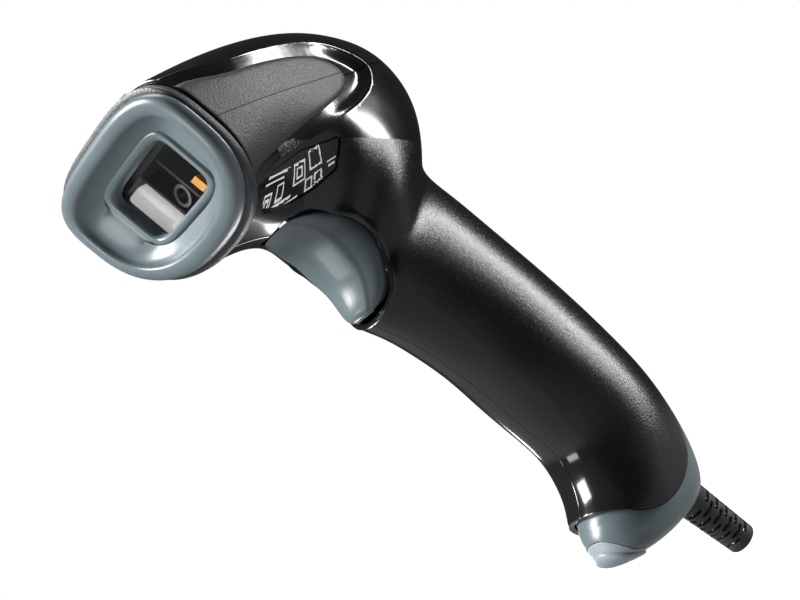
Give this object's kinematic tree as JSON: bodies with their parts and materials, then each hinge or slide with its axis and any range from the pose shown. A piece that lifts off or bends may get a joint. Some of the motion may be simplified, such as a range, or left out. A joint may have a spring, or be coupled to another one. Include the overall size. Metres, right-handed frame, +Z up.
{
  "type": "handheld barcode scanner",
  "caption": "Corded pistol-grip barcode scanner with a wide framed window, curved trigger, closed handle base and a strain-relieved cable outlet.",
  "frame": {"origin": "middle of the grip, inside the handle on the centre plane, at the hand_grip mount", "axes": "+X towards the scanner's left side, -Y out of the nose, +Z up along the handle towards the head"},
  "size_m": [0.0742, 0.1317, 0.2192],
  "materials": {
    "gloss_black": "gloss moulded, lightly textured on the grip",
    "soft_grey": "fine-grained soft-touch overmould",
    "blue_grey": "satin moulded",
    "pale_grey": "satin moulded",
    "label_black": "printed film",
    "window_clear": "clear",
    "white_lens": "translucent white",
    "inner_black": "matt",
    "pale_nylon": "satin",
    "black_rubber": "matt flexible",
    "steel": "zinc plated",
    "board_green": "solder mask over glass laminate",
    "amber": "translucent amber"
  },
  "bodies": {
    "scanner": {"head_cover": "gloss_black", "left_housing": "gloss_black", "right_housing": "gloss_black", "nose_collar": "soft_grey", "left_panel_upper": "soft_grey", "left_panel_lower": "soft_grey", "right_panel_upper": "soft_grey", "right_panel_lower": "soft_grey", "bezel": "blue_grey", "base_cap": "blue_grey", "base_sole": "pale_grey", "sole_pad": "pale_grey", "rating_label": "label_black", "scan_window": "window_clear", "imaging_lens": "window_clear", "cable_plug": "window_clear", "illumination_lens": "white_lens", "status_led": "white_lens", "engine_chassis": "inner_black", "lens_barrel": "inner_black", "cable_socket": "inner_black", "switch_body": "inner_black", "decoder_chip": "inner_black", "memory_chip": "inner_black", "beeper": "inner_black", "image_sensor": "inner_black", "board_connector": "pale_nylon", "strain_relief": "black_rubber", "cable": "black_rubber", "harness": "black_rubber", "trigger_pin": "steel", "trigger_spring": "steel", "housing_screw_1": "steel", "housing_screw_2": "steel", "housing_screw_3": "steel", "oscillator": "steel", "main_board": "board_green", "lamp_board": "board_green", "sensor_board": "board_green", "switch_board": "board_green", "aiming_led": "amber"},
    "trigger": {"trigger": "blue_grey"},
    "plunger": {"switch_plunger": "pale_nylon"}
  },
  "joints": [
    {"name": "trigger_pull", "type": "hinge", "parent": "scanner", "child": "trigger", "pos_m": [0, -0.0425, 0.0792], "axis": [1, 0, 0], "range_deg": [0, 5.5], "stiffness_Nm_per_rad": 0.2, "springref_deg": -5.73, "deforming": ["trigger_spring"]},
    {"name": "switch_press", "type": "slide", "parent": "scanner", "child": "plunger", "axis": [0, 1, 0], "range_m": [0, 0.0024]}
  ],
  "couplings": [
    {"joint": "switch_press", "follows": "trigger_pull", "m_per_rad": 0.0226}
  ]
}
